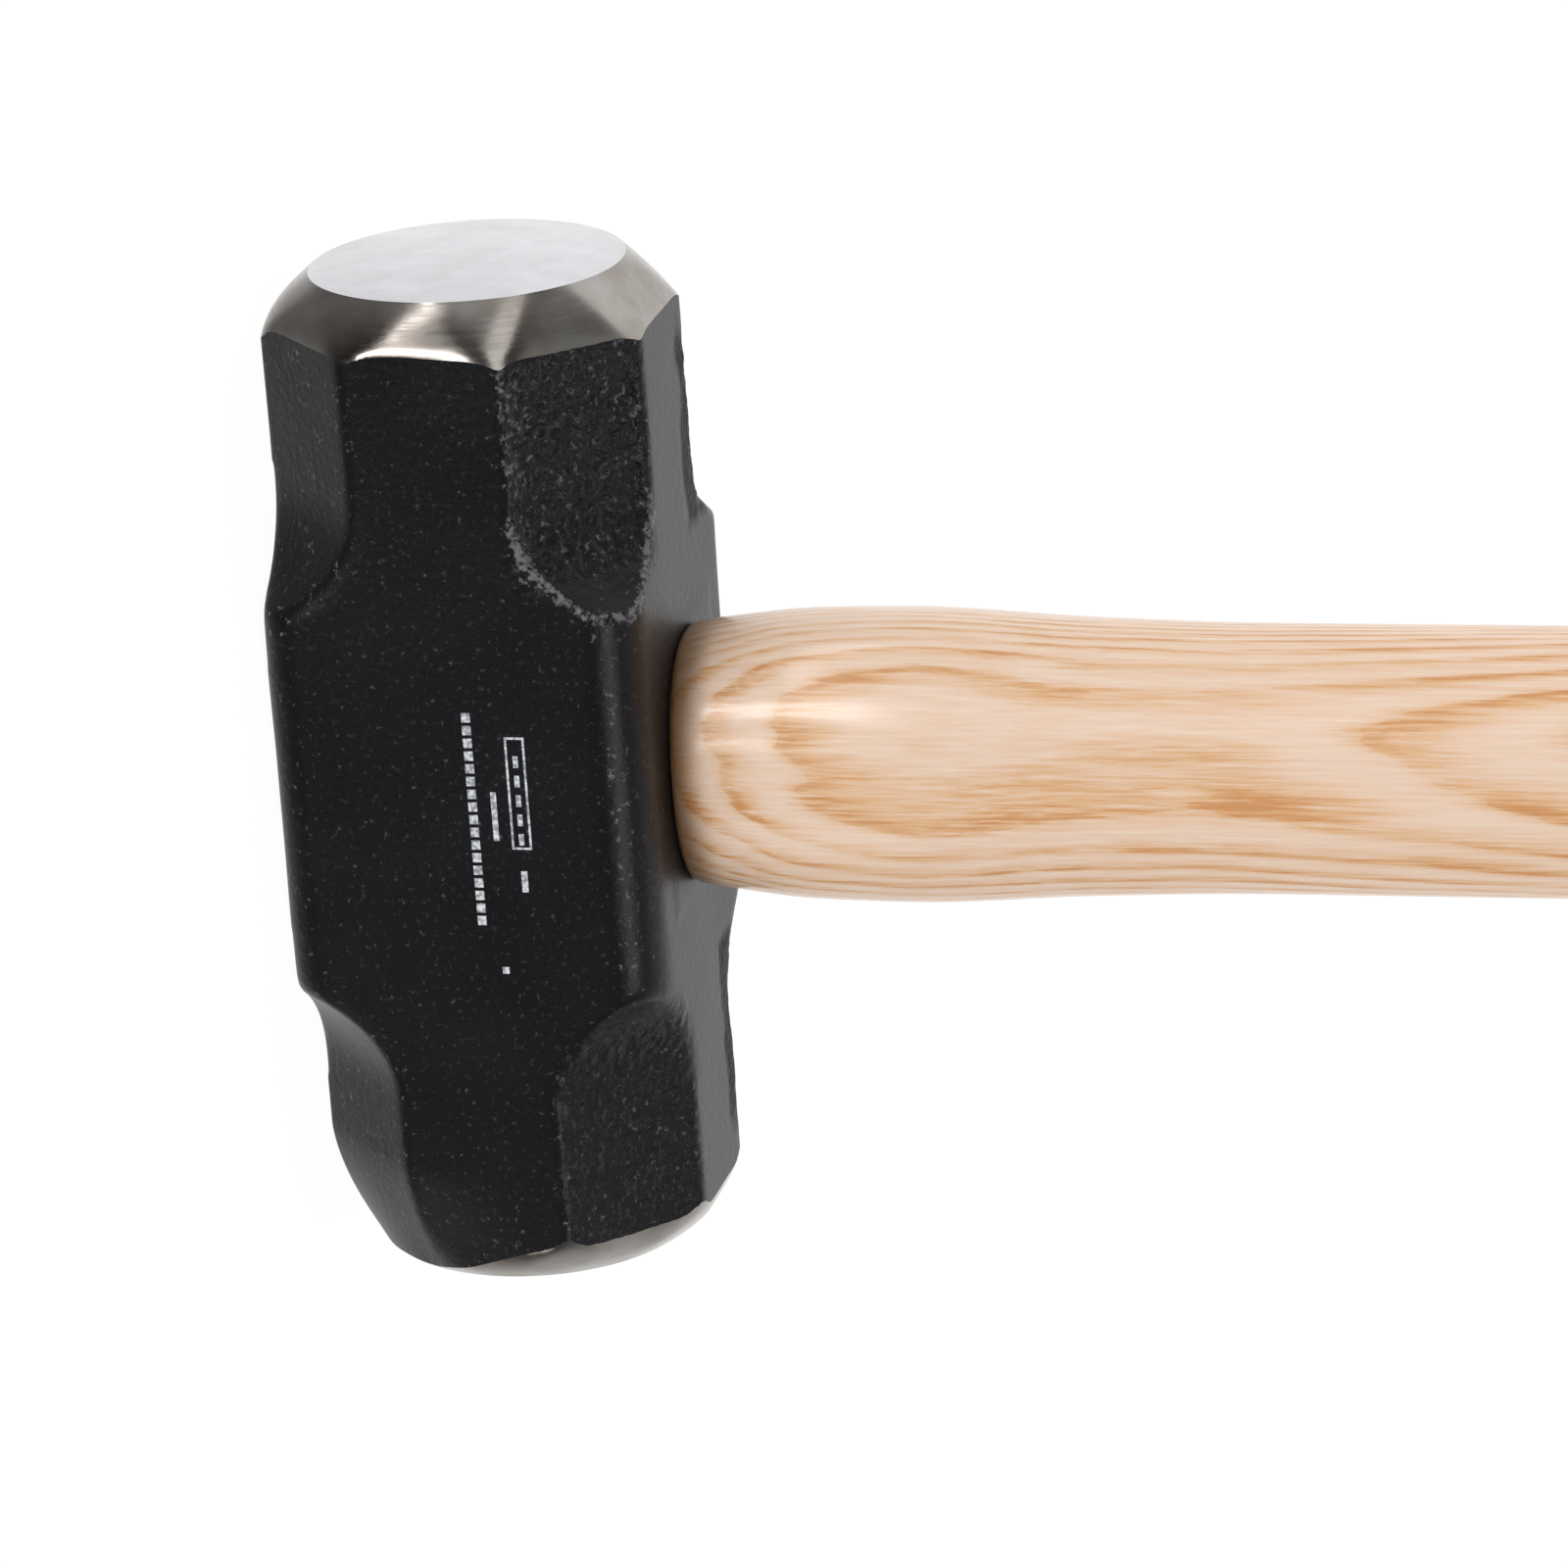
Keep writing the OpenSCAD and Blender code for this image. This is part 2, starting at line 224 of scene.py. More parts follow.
# The dies blend the wedge side's scoops and edges, and the handle side's scoops at the far end, more softly
soft = []
for vert in forging.verts:
    x, y, z = (vert.co - head_middle) / MM
    inside_edge = -half_width + 2.5 < z < -4 or (z < -4 and abs(x) < 52)
    if 22 < abs(x) and abs(y) > 4 and (inside_edge or (x > 0 and z > 4 and abs(x) < 52)):
        soft.append(vert)
relax(forging, soft, 16)
forging.normal_update()
scale = forging.verts.layers.float.new("scale")
edge = forging.verts.layers.float.new("edge")
# The wear layer also carries painted glints: grey specks standing for light caught by the rough rims
wear_and_glints = forging.verts.layers.float.new("wear_and_glints")
matt = forging.verts.layers.float.new("matt")
# How far each vertex stands out from its neighbours, in mm: edges stand out, and hollows are negative
for vert in forging.verts:
    around = sum((e.other_vert(vert).co for e in vert.link_edges), Vector()) / len(vert.link_edges)
    vert[edge] = (vert.co - around).dot(vert.normal) / MM
# The far end left the dies rounder on the wedge side, nearly down to the rim of the striking face, so lacquer
# covers most of the bevel there
round_from = 60
for vert in forging.verts:
    x, y, z = (vert.co - head_middle) / MM
    vert[scale] = die_scale(x, y, z)
    vert[wear_and_glints] = rim_wear_and_glints(x, y, z, vert[edge])
    vert[matt] = dark_pocket(x, y, z)
    from_eye = smoothstep(1.5, 5, max(abs(x) - 19, abs(y) - 13.5))
    vert.co -= vert.normal * (forged_depth(x, y, z, vert[scale], vert[matt]) * from_eye * MM)
    if x > round_from:
        rounding = ((x - round_from) / (face_x - round_from)) ** 1.6 * smoothstep(10, -16, z)
        vert.co -= Vector((0, y, z)) * (rounding * (1 - (face_radius + 0.9) / math.hypot(y, z)) * MM)
forging.to_mesh(head.data)
forging.free()


# What the grinding wheel leaves: everything inside a turned shape with a domed face and a bevel at each end
wheel_profile = [(face_x + crown_height * (1 - (k / 8) ** 2), face_radius * k / 8) for k in range(9)]
wheel_profile += [(face_x - 0.7 * k, ground_radius(face_x - 0.7 * k, 0)) for k in range(1, 26)]
wheel_profile += [(bevel_x - 9, 2 * half_width - 2)]      # clear of the forging between the two bevels
wheel_profile += [(-x, radius) for x, radius in reversed(wheel_profile)]
wheel = bmesh.new()
line = [wheel.verts.new(Vector((x, 0, radius)) * MM) for x, radius in wheel_profile]
for a, b in zip(line, line[1:]):
    wheel.edges.new((a, b))
bmesh.ops.spin(wheel, geom=wheel.verts[:] + wheel.edges[:], cent=(0, 0, 0), axis=(1, 0, 0), dvec=(0, 0, 0),
               angle=math.tau, steps=192, use_merge=True, use_duplicate=False)
bmesh.ops.remove_doubles(wheel, verts=wheel.verts, dist=1e-6)
for vert in wheel.verts:
    x = vert.co.x / MM
    turn = math.atan2(vert.co.z, vert.co.y)
    if bevel_x - 8.5 < abs(x) < face_x - 0.1:
        radius = ground_radius(x, turn) * MM
        vert.co.y, vert.co.z = radius * math.cos(turn), radius * math.sin(turn)
bmesh.ops.translate(wheel, verts=wheel.verts, vec=head_middle)
bmesh.ops.recalc_face_normals(wheel, faces=wheel.faces)
for face in wheel.faces:
    face.material_index = 1
grinding = new_piece("grinding_envelope", wheel)


def linear(hex_colour):
    """An sRGB hex colour as linear RGBA."""
    parts = [int(hex_colour[i:i + 2], 16) / 255 for i in (0, 2, 4)]
    return [p / 12.92 if p <= 0.04045 else ((p + 0.055) / 1.055) ** 2.4 for p in parts] + [1]


def add(tree, kind, settings=None, links=None):
    """Adds a shader node. The settings are its properties and fixed inputs, and the links feed its inputs."""
    node = tree.nodes.new("ShaderNode" + kind)
    for key, value in (settings or {}).items():
        if isinstance(key, str) and hasattr(node, key):
            setattr(node, key, value)
        else:
            node.inputs[key].default_value = value
    for key, source in (links or {}).items():
        tree.links.new(source, node.inputs[key])
    return node


def material(name):
    """A new material with its node tree, its Principled shader and object coordinates."""
    made = bpy.data.materials.new(name)
    made.use_nodes = True
    tree = made.node_tree
    return made, tree, tree.nodes["Principled BSDF"], add(tree, "TexCoord").outputs["Object"]


lacquer, t, shader, place = material("satin_black_lacquer_on_forged_steel")
scale_share = add(t, "Attribute", {"attribute_name": "scale"}).outputs["Fac"]
edge_mm = add(t, "Attribute", {"attribute_name": "edge"}).outputs["Fac"]
# Where rims show grey specks of wear and of painted glints
wear_and_glint_share = add(t, "Attribute", {"attribute_name": "wear_and_glints"}).outputs["Fac"]
matt_share = add(t, "Attribute", {"attribute_name": "matt"}).outputs["Fac"]
# Nearly black, with a grain of about 1 mm that is strong on the scale and faint elsewhere
grain = add(t, "TexNoise", {"Scale": 1 / (1.3 * MM), "Detail": 3, "Roughness": 0.55}, {"Vector": place})
pits = add(t, "TexVoronoi", {"Scale": 1 / (1.5 * MM), "feature": "SMOOTH_F1"}, {"Vector": place})
clouds = add(t, "TexNoise", {"Scale": 1 / (22 * MM), "Detail": 2}, {"Vector": place})
black = add(t, "ValToRGB", {}, {"Fac": clouds.outputs["Fac"]})
black.color_ramp.elements[0].position = 0.3
black.color_ramp.elements[0].color = linear("0C0C0F")
black.color_ramp.elements[1].position = 0.7
black.color_ramp.elements[1].color = linear("131317")
# Rubbed edges and rims show grey in specks, partly real wear and partly painted glints, and a few light
# grey specks of painted glint lie everywhere
speckle = add(t, "TexNoise", {"Scale": 1 / (1.1 * MM), "Detail": 3, "Roughness": 0.65}, {"Vector": place})
wear_and_glint_level = add(t, "Math", {"operation": "MULTIPLY_ADD", 1: 1.6}, {0: edge_mm, 2: speckle.outputs["Fac"]})
wear_and_glint_level = add(t, "Math", {"operation": "MULTIPLY_ADD", 1: 0.17}, {0: wear_and_glint_share, 2: wear_and_glint_level.outputs[0]})
wear_and_glint_level = add(t, "Math", {"operation": "MULTIPLY_ADD", 1: 0.07}, {0: scale_share, 2: wear_and_glint_level.outputs[0]})
worn_and_glinting = add(t, "MapRange", {"From Min": 0.66, "From Max": 0.84, "To Max": 0.62}, {"Value": wear_and_glint_level.outputs[0]})
wear_and_glint_colour = add(t, "Mix", {"data_type": "RGBA", 7: linear("8E8E92")},
                  {0: worn_and_glinting.outputs["Result"], 6: black.outputs["Color"]})
# Painted glints: light grey specks that stand for the lacquer's micro-bumps catching light
painted_glint = add(t, "MapRange", {"From Min": 0.58, "From Max": 0.74, "To Max": 0.22},
           {"Value": speckle.outputs["Fac"]})
with_painted_glints = add(t, "Mix", {"data_type": "RGBA", 7: linear("77797F")},
            {0: painted_glint.outputs["Result"], 6: wear_and_glint_colour.outputs[2]})
t.links.new(with_painted_glints.outputs[2], shader.inputs["Base Color"])
# The lacquer is satin, a little glossier on the scale and dull in the pockets
paint_rough = add(t, "MapRange", {"To Min": 0.38, "To Max": 0.34}, {"Value": scale_share})
t.links.new(paint_rough.outputs["Result"], shader.inputs["Roughness"])
sheen = add(t, "MapRange", {"To Min": 0.31, "To Max": 0.04}, {"Value": matt_share})
t.links.new(sheen.outputs["Result"], shader.inputs["Specular IOR Level"])
coarse_share = add(t, "Math", {"operation": "MAXIMUM"}, {0: scale_share, 1: matt_share})
grain_depth = add(t, "MapRange", {"To Min": 0.22, "To Max": 1.0}, {"Value": coarse_share.outputs[0]})
grain_bump = add(t, "Bump", {"Distance": 0.45 * MM},
                 {"Height": grain.outputs["Fac"], "Strength": grain_depth.outputs["Result"]})
pit_depth = add(t, "MapRange", {"To Min": 0.02, "To Max": 0.8}, {"Value": scale_share})
pit_bump = add(t, "Bump", {"Distance": 0.5 * MM},
               {"Height": pits.outputs["Distance"], "Strength": pit_depth.outputs["Result"],
                "Normal": grain_bump.outputs["Normal"]})
t.links.new(pit_bump.outputs["Normal"], shader.inputs["Normal"])

ground_steel, t, shader, place = material("ground_steel")
# Grinding lines run round the bevel, so the pattern changes quickly along the head and slowly round it
turned = add(t, "Mapping", {"Scale": (1 / (0.3 * MM), 1 / (12 * MM), 1 / (12 * MM))}, {"Vector": place})
lines = add(t, "TexNoise", {"Scale": 1, "Detail": 3, "Roughness": 0.6}, {"Vector": turned.outputs["Vector"]})
# The faces are polished bright, and the bevels are left with the coarser finish of the wheel
mottle = add(t, "TexNoise", {"Scale": 1 / (7 * MM), "Detail": 5, "Roughness": 0.6}, {"Vector": place})
axes = add(t, "SeparateXYZ", {}, {0: place})
off_middle = add(t, "Math", {"operation": "ABSOLUTE"}, {0: axes.outputs["X"]})
is_face = add(t, "Math", {"operation": "GREATER_THAN", 1: (face_x - 0.02) * MM}, {0: off_middle.outputs[0]})
polished = add(t, "ValToRGB", {}, {"Fac": mottle.outputs["Fac"]})
polished.color_ramp.elements[0].position = 0.35
polished.color_ramp.elements[0].color = linear("D4D3D7")
polished.color_ramp.elements[1].position = 0.7
polished.color_ramp.elements[1].color = linear("E2E1E6")
wheel_marks = add(t, "TexNoise", {"Scale": 1 / (14 * MM), "Detail": 3, "Roughness": 0.6}, {"Vector": place})
as_ground = add(t, "ValToRGB", {}, {"Fac": wheel_marks.outputs["Fac"]})
as_ground.color_ramp.elements[0].position = 0.35
as_ground.color_ramp.elements[0].color = linear("989089")
as_ground.color_ramp.elements[1].position = 0.65
as_ground.color_ramp.elements[1].color = linear("B5B2AD")
steel = add(t, "Mix", {"data_type": "RGBA"},
            {0: is_face.outputs[0], 6: as_ground.outputs["Color"], 7: polished.outputs["Color"]})
t.links.new(steel.outputs[2], shader.inputs["Base Color"])
shader.inputs["Metallic"].default_value = 1
steel_rough = add(t, "MapRange", {"From Min": 0.3, "From Max": 0.7, "To Min": 0.14, "To Max": 0.25},
                  {"Value": lines.outputs["Fac"]})
t.links.new(steel_rough.outputs["Result"], shader.inputs["Roughness"])
line_bump = add(t, "Bump", {"Distance": 0.0015 * MM, "Strength": 0.5}, {"Height": lines.outputs["Fac"]})
t.links.new(line_bump.outputs["Normal"], shader.inputs["Normal"])

for piece in (head, grinding):
    piece.data.materials.append(lacquer)
    piece.data.materials.append(ground_steel)
ground = head.modifiers.new("grinding", "BOOLEAN")
ground.operation = "INTERSECT"
ground.solver = "MANIFOLD"
ground.object = grinding
settle(head)
bpy.data.objects.remove(grinding)
crease(head, 38, 14)
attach(head, "root")
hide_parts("head")

# The mark on the near cheek is printed in white. It is only rows of dashes, a frame and a dot, each an oblong
# given by its lowest and highest X and Z in mm from the middle of the head.
mark = bmesh.new()
cheek_y = -half_width + 0.03            # the print's surface, just inside the CAD box
film_depth = 0.5
for low_x, high_x, low_z, high_z in (
    [(-16.5 + 2.1 * k, -15.0 + 2.1 * k, 2.3, 3.7) for k in range(17)]
    + [(-12.6, 5.9, 8.9, 9.25), (-12.6, 5.9, 11.75, 12.1)]
    + [(-12.6, -12.25, 9.25, 11.75), (5.55, 5.9, 9.25, 11.75)]
    + [(-9.5 + 3.2 * k, -7.6 + 3.2 * k, 10.1, 10.9) for k in range(5)]
    + [(-3.5, 4.5, 6.0, 6.9), (9.5, 13.0, 10.0, 11.0), (25.6, 26.7, 5.7, 6.8)]
):
    film = bmesh.ops.create_cube(mark, size=1)["verts"]
    bmesh.ops.scale(mark, verts=film, vec=Vector((high_x - low_x, film_depth, high_z - low_z)) * MM)
    centre = Vector(((low_x + high_x) / 2, cheek_y + film_depth / 2, (low_z + high_z) / 2))
    bmesh.ops.translate(mark, verts=film, vec=head_middle + centre * MM)
marking = new_piece("printed_mark", mark)
white_print, t, shader, place = material("white_screen_print")
flecks = add(t, "TexNoise", {"Scale": 1 / (0.7 * MM), "Detail": 3}, {"Vector": place})
ink = add(t, "ValToRGB", {}, {"Fac": flecks.outputs["Fac"]})
ink.color_ramp.elements[0].position = 0.4
ink.color_ramp.elements[0].color = linear("8C9096")
ink.color_ramp.elements[1].position = 0.6
ink.color_ramp.elements[1].color = linear("DDE0E4")
t.links.new(ink.outputs["Color"], shader.inputs["Base Color"])
shader.inputs["Roughness"].default_value = 0.55
marking.data.materials.append(white_print)
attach(marking, "root")


# ---------------------------------------------------------------- Handle
# The handle is one length of flat-sawn hickory, turned to an oval on a copying lathe, sanded and dipped in
# clear lacquer. It swells above the head, thins towards the hands and ends in a knob. Its tongue fills the
# eye and is split by a saw kerf for the wedges.

handle_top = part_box("handle")[1][2] / MM
shoulder = head_high.z / MM + 0.1
# Height, size along the head and size across it, from the shoulder to the knob
handle_stations = [
    (shoulder, 40.6, 30.6),
    (shoulder + 0.36, 41.44, 31.44),
    (shoulder + 1.2, 42.14, 32.06),
    (shoulder + 9, 44.49, 33.91),
    (shoulder + 19.8, 46.73, 35.67),
    (shoulder + 36, 47.4, 36.2),
    (shoulder + 65.4, 44.41, 33.73),
    (shoulder + 92.7, 42.94, 32.51),
    (shoulder + 145, 42.8, 32.4),
    (handle_top - 280, 36.4, 28.6),
    (handle_top - 149, 38.55, 30.2),
    (handle_top - 18, 45.0, 35.0),
]
knob_length = 18


def station_slopes(stations, column):
    """Slopes that make a smooth curve through a column of the stations without overshoot."""
    rises = [(b[column] - a[column]) / (b[0] - a[0]) for a, b in zip(stations, stations[1:])]
    inner = [0 if p * q <= 0 else 2 * p * q / (p + q) for p, q in zip(rises, rises[1:])]
    return [0] + inner + [0]


def handle_sections(stations, step):
    """(height, length, width) about every step, along a smooth curve through the stations."""
    slopes = [station_slopes(stations, 1), station_slopes(stations, 2)]
    made = []
    for i, (a, b) in enumerate(zip(stations, stations[1:])):
        run = b[0] - a[0]
        count = max(1, round(run / step))
        for k in range(count):
            u = k / count
            sizes = [
                (2 * u**3 - 3 * u**2 + 1) * a[c + 1] + (u**3 - 2 * u**2 + u) * run * slopes[c][i]
                + (3 * u**2 - 2 * u**3) * b[c + 1] + (u**3 - u**2) * run * slopes[c][i + 1]
                for c in (0, 1)
            ]
            made.append((a[0] + u * run, *sizes))
    return made


sections = handle_sections(handle_stations, 4)
_, knob_length_x, knob_width_y = handle_stations[-1]
for k in range(13):
    turn = math.radians(90 * k / 12)
    shrink = max(math.cos(turn) ** 0.7, 0.09)
    sections.append((handle_top - knob_length + knob_length * math.sin(turn), knob_length_x * shrink,
                     knob_width_y * shrink))

turning = bmesh.new()
ring = bmesh.ops.create_circle(turning, cap_ends=True, segments=72, radius=0.5 * MM)["verts"]
oval_power = 2.2                        # 2 would be an ellipse, and this is a little squarer
for vert in ring:
    angle = math.atan2(vert.co.y, vert.co.x)
    vert.co.x, vert.co.y = (
        0.5 * MM * math.copysign(abs(f(angle)) ** (2 / oval_power), f(angle)) for f in (math.cos, math.sin)
    )
bottom = top = turning.faces[:][0]
bmesh.ops.scale(turning, verts=ring, vec=(sections[0][1], sections[0][2], 1))
bmesh.ops.translate(turning, verts=ring, vec=(0, 0, sections[0][0] * MM))
for (z0, length0, width0), (z1, length1, width1) in zip(sections, sections[1:]):
    below, grown = top, bmesh.ops.extrude_face_region(turning, geom=[top])["geom"]
    top = next(f for f in grown if isinstance(f, bmesh.types.BMFace))
    if below is not bottom:
        bmesh.ops.delete(turning, geom=[below], context="FACES_ONLY")
    bmesh.ops.scale(turning, verts=top.verts, vec=(length1 / length0, width1 / width0, 1))
    bmesh.ops.translate(turning, verts=top.verts, vec=(0, 0, (z1 - z0) * MM))
bmesh.ops.recalc_face_normals(turning, faces=turning.faces)
handle = new_piece("turned_handle", turning)

# The tongue with its kerf is sawn off the solid model just below the shoulder and let into the turned shaft
sawn = merged_copy("handle")
saw_and_run_on(sawn, (0, 0, (shoulder - 0.05) * MM), (0, 0, 1), 4 * MM)
tongue = new_piece("handle_tongue", sawn)
joined = handle.modifiers.new("tongue", "BOOLEAN")
joined.operation = "UNION"
joined.solver = "EXACT"
joined.object = tongue
settle(handle)
bpy.data.objects.remove(tongue)
crease(handle, 40, 40)

hickory, t, shader, place = material("clear_lacquered_hickory")
ring_centre = (6, 40)                   # the middle of the growth rings, in mm: behind the near side
ring_spacing = 1.35
ring_tilt = 0.030                       # how far the rings lean as they run up the handle
ring_start = 62.1                       # distance from their middle at which one ring starts
in_mm = add(t, "Mapping", {"Location": (-ring_centre[0], -ring_centre[1], 0), "Scale": (1000, 1000, 1000)},
            {"Vector": place})
slow = add(t, "Mapping", {"Scale": (1 / (13 * MM), 1 / (13 * MM), 1 / (85 * MM))}, {"Vector": place})
wander = add(t, "TexNoise", {"Scale": 1, "Detail": 4, "Roughness": 0.5}, {"Vector": slow.outputs["Vector"]})
centred = add(t, "VectorMath", {"operation": "SUBTRACT", 1: (0.5, 0.5, 0.5)}, {0: wander.outputs["Color"]})
bent = add(t, "VectorMath", {"operation": "MULTIPLY_ADD", 1: (2.2, 2.2, 0)},
           {0: centred.outputs["Vector"], 2: in_mm.outputs["Vector"]})
flat = add(t, "VectorMath", {"operation": "MULTIPLY", 1: (1, 1, 0)}, {0: bent.outputs["Vector"]})
from_centre = add(t, "VectorMath", {"operation": "LENGTH"}, {0: flat.outputs["Vector"]})
height = add(t, "SeparateXYZ", {}, {0: bent.outputs["Vector"]})
leaning = add(t, "Math", {"operation": "MULTIPLY_ADD", 1: ring_tilt},
              {0: height.outputs["Z"], 2: from_centre.outputs["Value"]})
past_start = add(t, "Math", {"operation": "SUBTRACT", 1: ring_start}, {0: leaning.outputs[0]})
years = add(t, "Math", {"operation": "DIVIDE", 1: ring_spacing}, {0: past_start.outputs[0]})
year = add(t, "Math", {"operation": "FRACT"}, {0: years.outputs[0]})
# Each ring has an orange-brown band that starts sharply and fades into pale wood
band = add(t, "ValToRGB", {}, {"Fac": year.outputs[0]})
band.color_ramp.elements[0].position = 0.0
band.color_ramp.elements[0].color = (0.85, 0.85, 0.85, 1)
band.color_ramp.elements[1].position = 1.0
band.color_ramp.elements[1].color = (0.6, 0.6, 0.6, 1)
for position, grey in ((0.1, 1.0), (0.3, 0.55), (0.55, 0.12), (0.8, 0.05), (0.93, 0.25)):
    band.color_ramp.elements.new(position).color = (grey, grey, grey, 1)
long_fibres = add(t, "Mapping", {"Scale": (1 / (0.6 * MM), 1 / (0.6 * MM), 1 / (16 * MM))}, {"Vector": place})
fibres = add(t, "TexNoise", {"Scale": 1, "Detail": 4, "Roughness": 0.65},
             {"Vector": long_fibres.outputs["Vector"]})
long_streaks = add(t, "Mapping", {"Scale": (1 / (6 * MM), 1 / (6 * MM), 1 / (60 * MM))}, {"Vector": place})
streaks = add(t, "TexNoise", {"Scale": 1, "Detail": 3, "Roughness": 0.5},
              {"Vector": long_streaks.outputs["Vector"]})
strength = add(t, "MapRange", {"From Min": 0.35, "From Max": 0.65, "To Min": 0.3, "To Max": 1.0},
               {"Value": streaks.outputs["Fac"]})
brushed = add(t, "MapRange", {"From Min": 0.35, "From Max": 0.65, "To Min": 0.3, "To Max": 1.3},
              {"Value": fibres.outputs["Fac"]})
banded = add(t, "Math", {"operation": "MULTIPLY"}, {0: band.outputs["Color"], 1: strength.outputs["Result"]})
banded = add(t, "Math", {"operation": "MULTIPLY"}, {0: banded.outputs[0], 1: brushed.outputs["Result"]})
grain_sum = add(t, "Math", {"operation": "MULTIPLY_ADD", 1: 0.45},
                {0: fibres.outputs["Fac"], 2: banded.outputs[0]})
timber = add(t, "ValToRGB", {}, {"Fac": grain_sum.outputs[0]})
timber.color_ramp.elements[0].position = 0.12
timber.color_ramp.elements[0].color = linear("F5DECA")
timber.color_ramp.elements[1].position = 1.0
timber.color_ramp.elements[1].color = linear("D8985E")
timber.color_ramp.elements.new(0.3).color = linear("F0CFB4")
timber.color_ramp.elements.new(0.6).color = linear("E8BA8C")
# Painted shade where the wood turns in towards the black head, and lacquer darkened by dirt,
# in the last few millimetres above the head
above_head = add(t, "SeparateXYZ", {}, {0: place})
joint_shade_and_dirt = add(t, "MapRange", {"From Min": shoulder * MM, "From Max": (shoulder + 7) * MM, "To Min": 0.75,
                            "To Max": 0.0, "interpolation_type": "SMOOTHSTEP"},
            {"Value": above_head.outputs["Z"]})
# Darkens the wood with painted shade and dirt next to the head
with_joint_shade_and_dirt = add(t, "Mix", {"data_type": "RGBA", 7: linear("8E5A2A")},
              {0: joint_shade_and_dirt.outputs["Result"], 6: timber.outputs["Color"]})
t.links.new(with_joint_shade_and_dirt.outputs[2], shader.inputs["Base Color"])
# Pores: short dashes that follow the fibres
dashes = add(t, "Mapping", {"Scale": (1 / (0.4 * MM), 1 / (0.4 * MM), 1 / (3.5 * MM))}, {"Vector": place})
pores = add(t, "TexNoise", {"Scale": 1, "Detail": 3, "Roughness": 0.6}, {"Vector": dashes.outputs["Vector"]})
pore_bump = add(t, "Bump", {"Strength": 0.6, "Distance": 0.08 * MM}, {"Height": pores.outputs["Fac"]})
t.links.new(pore_bump.outputs["Normal"], shader.inputs["Normal"])
shader.inputs["Roughness"].default_value = 0.42
shader.inputs["Coat Weight"].default_value = 0.8
shader.inputs["Coat Roughness"].default_value = 0.15
handle.data.materials.clear()
handle.data.materials.append(hickory)
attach(handle, "root")
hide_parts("handle")


# ---------------------------------------------------------------- Timber wedge
# A bare hardwood wedge, sawn and unvarnished, fills the kerf. Its grain runs down its depth.

wedge_wood, t, shader, place = material("bare_sawn_hardwood")
stretched = add(t, "Mapping", {"Scale": (1 / (0.8 * MM), 1 / (0.8 * MM), 1 / (18 * MM))}, {"Vector": place})
wedge_grain = add(t, "TexNoise", {"Scale": 1, "Detail": 4, "Roughness": 0.6},
                  {"Vector": stretched.outputs["Vector"]})
tone = add(t, "ValToRGB", {}, {"Fac": wedge_grain.outputs["Fac"]})
tone.color_ramp.elements[0].position = 0.35
tone.color_ramp.elements[0].color = linear("B98A5E")
tone.color_ramp.elements[1].position = 0.65
tone.color_ramp.elements[1].color = linear("DDBE94")
t.links.new(tone.outputs["Color"], shader.inputs["Base Color"])
shader.inputs["Roughness"].default_value = 0.75
sawn_bump = add(t, "Bump", {"Distance": 0.1 * MM, "Strength": 0.6}, {"Height": wedge_grain.outputs["Fac"]})
t.links.new(sawn_bump.outputs["Normal"], shader.inputs["Normal"])
timber_wedge = bpy.data.objects["timber_wedge"]
timber_wedge.data.materials.clear()
timber_wedge.data.materials.append(wedge_wood)


# ---------------------------------------------------------------- Steel wedges
# Two mild-steel wedges with barbed sides, pressed and tumbled bright, and driven across the timber wedge.

tumbled, t, shader, place = material("tumbled_mild_steel")
dents = add(t, "TexNoise", {"Scale": 1 / (1.8 * MM), "Detail": 4, "Roughness": 0.6}, {"Vector": place})
bright = add(t, "ValToRGB", {}, {"Fac": dents.outputs["Fac"]})
bright.color_ramp.elements[0].position = 0.35
bright.color_ramp.elements[0].color = linear("8E8B86")
bright.color_ramp.elements[1].position = 0.65
bright.color_ramp.elements[1].color = linear("B9B8B6")
t.links.new(bright.outputs["Color"], shader.inputs["Base Color"])
shader.inputs["Metallic"].default_value = 1
shader.inputs["Roughness"].default_value = 0.42
dent_bump = add(t, "Bump", {"Distance": 0.08 * MM, "Strength": 0.5}, {"Height": dents.outputs["Fac"]})
t.links.new(dent_bump.outputs["Normal"], shader.inputs["Normal"])
for side in ("left", "right"):
    steel_wedge = bpy.data.objects["steel_wedge_" + side]
    steel_wedge.data.materials.clear()
    steel_wedge.data.materials.append(tumbled)


# ---------------------------------------------------------------- Studio
# A white sweep in soft, even light, with a long lens in front of one cheek and a little above the head.

sweep = bmesh.new()
bmesh.ops.create_circle(sweep, cap_ends=True, segments=96, radius=40)
sweep_mesh = bpy.data.meshes.new("white_sweep")
sweep.to_mesh(sweep_mesh)
sweep.free()
floor = bpy.data.objects.new("white_sweep", sweep_mesh)
bpy.context.scene.collection.objects.link(floor)
paper, t, shader, _ = material("white_paper")
shader.inputs["Base Color"].default_value = linear("5A5A5A")
shader.inputs["Roughness"].default_value = 1
shader.inputs["Specular IOR Level"].default_value = 0
shader.inputs["Emission Color"].default_value = (1, 1, 1, 1)
shader.inputs["Emission Strength"].default_value = 0.97
floor.data.materials.append(paper)
floor.visible_shadow = False
floor.visible_glossy = False

# The room as the metal and lacquer reflect it: a white wall behind that fades towards the front
world = bpy.data.worlds.new("studio")
bpy.context.scene.world = world
world.use_nodes = True
t = world.node_tree
direction = add(t, "TexCoord").outputs["Generated"]
axes = add(t, "SeparateXYZ", {}, {0: direction})
wall = add(t, "MapRange", {"From Min": -0.5, "From Max": 0.4, "To Min": 0.1, "To Max": 1.0,
                           "interpolation_type": "SMOOTHSTEP"}, {"Value": axes.outputs["Y"]})
